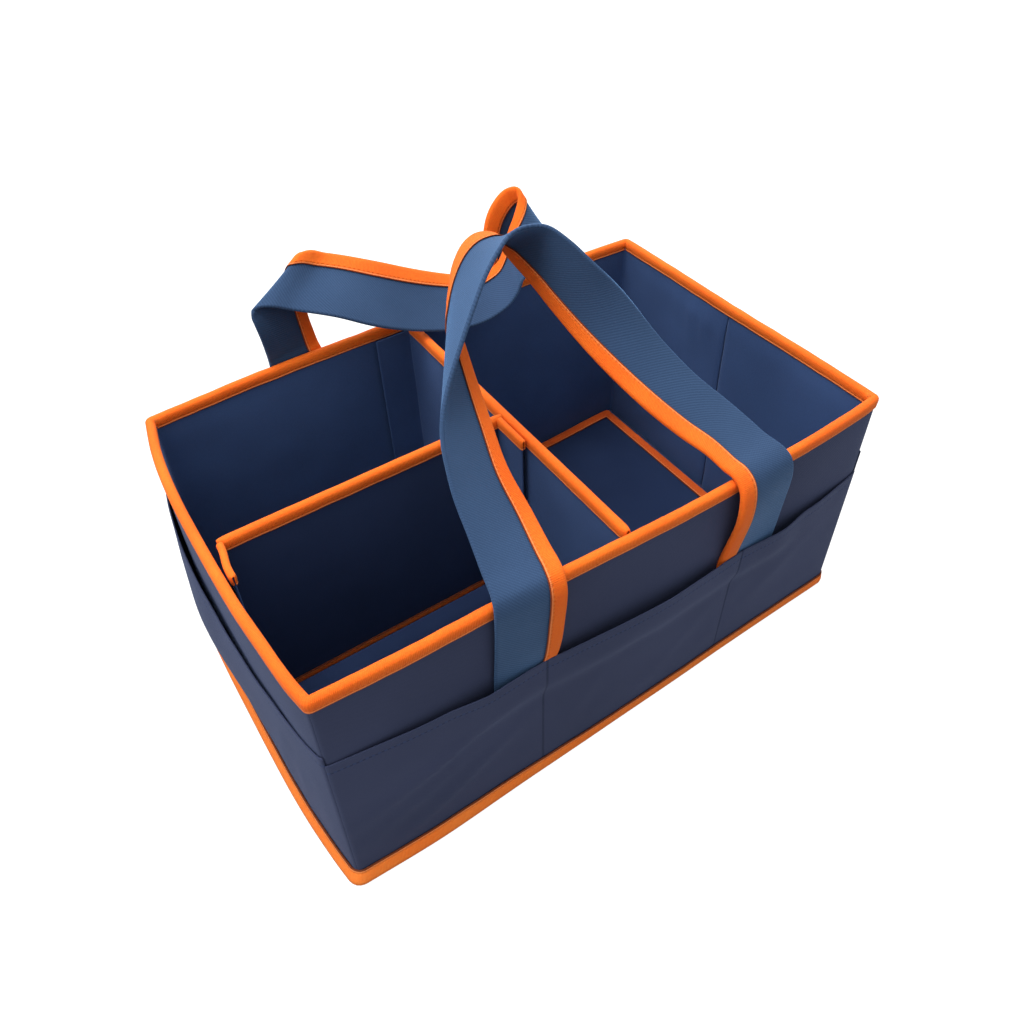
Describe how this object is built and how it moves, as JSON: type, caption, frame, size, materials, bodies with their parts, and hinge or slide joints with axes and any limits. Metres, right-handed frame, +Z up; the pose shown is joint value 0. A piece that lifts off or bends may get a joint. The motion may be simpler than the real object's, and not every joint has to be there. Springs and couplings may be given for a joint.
{
  "type": "diaper caddy",
  "caption": "Open fabric caddy with movable dividers, outside pockets, a loose base insert and two strap handles with contrasting edge tape.",
  "frame": {"origin": "on the floor, under the middle of the box", "axes": "+X along the long walls to the right, +Y from the front wall to the back wall, +Z up"},
  "size_m": [0.4004, 0.266, 0.2932],
  "materials": {
    "panel_fabric": "matte",
    "strap": "matte",
    "edge_tape": "matte",
    "board": "matte",
    "hook_and_loop": "matte"
  },
  "bodies": {
    "caddy_body": {"back_board": "board", "back_handle_left_end": "strap", "back_handle_left_end_tape": "edge_tape", "back_handle_right_end": "strap", "back_handle_right_end_tape": "edge_tape", "back_lining": "panel_fabric", "back_outer_fabric": "panel_fabric", "back_pockets": "panel_fabric", "back_wall_loop_strip": "hook_and_loop", "cross_back_flap": "panel_fabric", "cross_back_flap_hook_strip": "hook_and_loop", "floor_panel": "panel_fabric", "foot_tape": "edge_tape", "front_board": "board", "front_handle_left_end": "strap", "front_handle_left_end_tape": "edge_tape", "front_handle_right_end": "strap", "front_handle_right_end_tape": "edge_tape", "front_lining": "panel_fabric", "front_outer_fabric": "panel_fabric", "front_pockets": "panel_fabric", "front_wall_loop_strip": "hook_and_loop", "insert_board": "board", "insert_cover": "panel_fabric", "insert_edge_tape": "edge_tape", "left_board_1": "board", "left_board_2": "board", "left_lining": "panel_fabric", "left_outer_fabric": "panel_fabric", "left_pocket": "panel_fabric", "left_wall_loop_strip": "hook_and_loop", "long_left_flap": "panel_fabric", "long_left_flap_hook_strip": "hook_and_loop", "long_left_flap_tape": "edge_tape", "right_board_1": "board", "right_board_2": "board", "right_lining": "panel_fabric", "right_outer_fabric": "panel_fabric", "right_pocket": "panel_fabric", "rim_tape": "edge_tape"},
    "front_handle": {"front_handle_strap": "strap", "front_handle_tape": "edge_tape"},
    "back_handle": {"back_handle_strap": "strap", "back_handle_tape": "edge_tape"},
    "cross_front_flap": {"cross_front_flap": "panel_fabric", "cross_front_flap_hook_strip": "hook_and_loop", "cross_front_flap_tape": "edge_tape"},
    "long_right_flap": {"long_right_flap": "panel_fabric", "long_right_flap_hook_strip": "hook_and_loop", "long_right_flap_tape": "edge_tape"},
    "cross_divider": {"cross_divider_board": "board", "cross_divider_cover": "panel_fabric", "cross_divider_loop_strip": "hook_and_loop", "cross_divider_top_tape": "edge_tape"},
    "long_divider": {"long_divider_board": "board", "long_divider_cover": "panel_fabric", "long_divider_top_tape": "edge_tape", "long_divider_foot_tape": "edge_tape"}
  },
  "joints": [
    {"name": "front_handle_swing", "type": "hinge", "parent": "caddy_body", "child": "front_handle", "pos_m": [0, -0.12215, 0.1786], "axis": [1, 0, 0], "range_deg": [0, 120]},
    {"name": "back_handle_swing", "type": "hinge", "parent": "caddy_body", "child": "back_handle", "pos_m": [0, 0.12215, 0.1786], "axis": [-1, 0, 0], "range_deg": [0, 100]},
    {"name": "cross_divider_swing", "type": "hinge", "parent": "caddy_body", "child": "cross_divider", "pos_m": [-0.0098, 0.11125, 0.1], "axis": [0, 0, 1], "range_deg": [0, 35]},
    {"name": "cross_front_flap_peel", "type": "hinge", "parent": "cross_divider", "child": "cross_front_flap", "pos_m": [-0.0042, -0.11125, 0.1], "axis": [0, 0, 1], "range_deg": [0, 60]},
    {"name": "long_divider_swing", "type": "hinge", "parent": "caddy_body", "child": "long_divider", "pos_m": [-0.1811, -0.0053, 0.1], "axis": [0, 0, -1], "range_deg": [0, 28]},
    {"name": "long_right_flap_peel", "type": "hinge", "parent": "long_divider", "child": "long_right_flap", "pos_m": [-0.0128, -0.0053, 0.1], "axis": [0, 0, -1], "range_deg": [0, 60]}
  ]
}
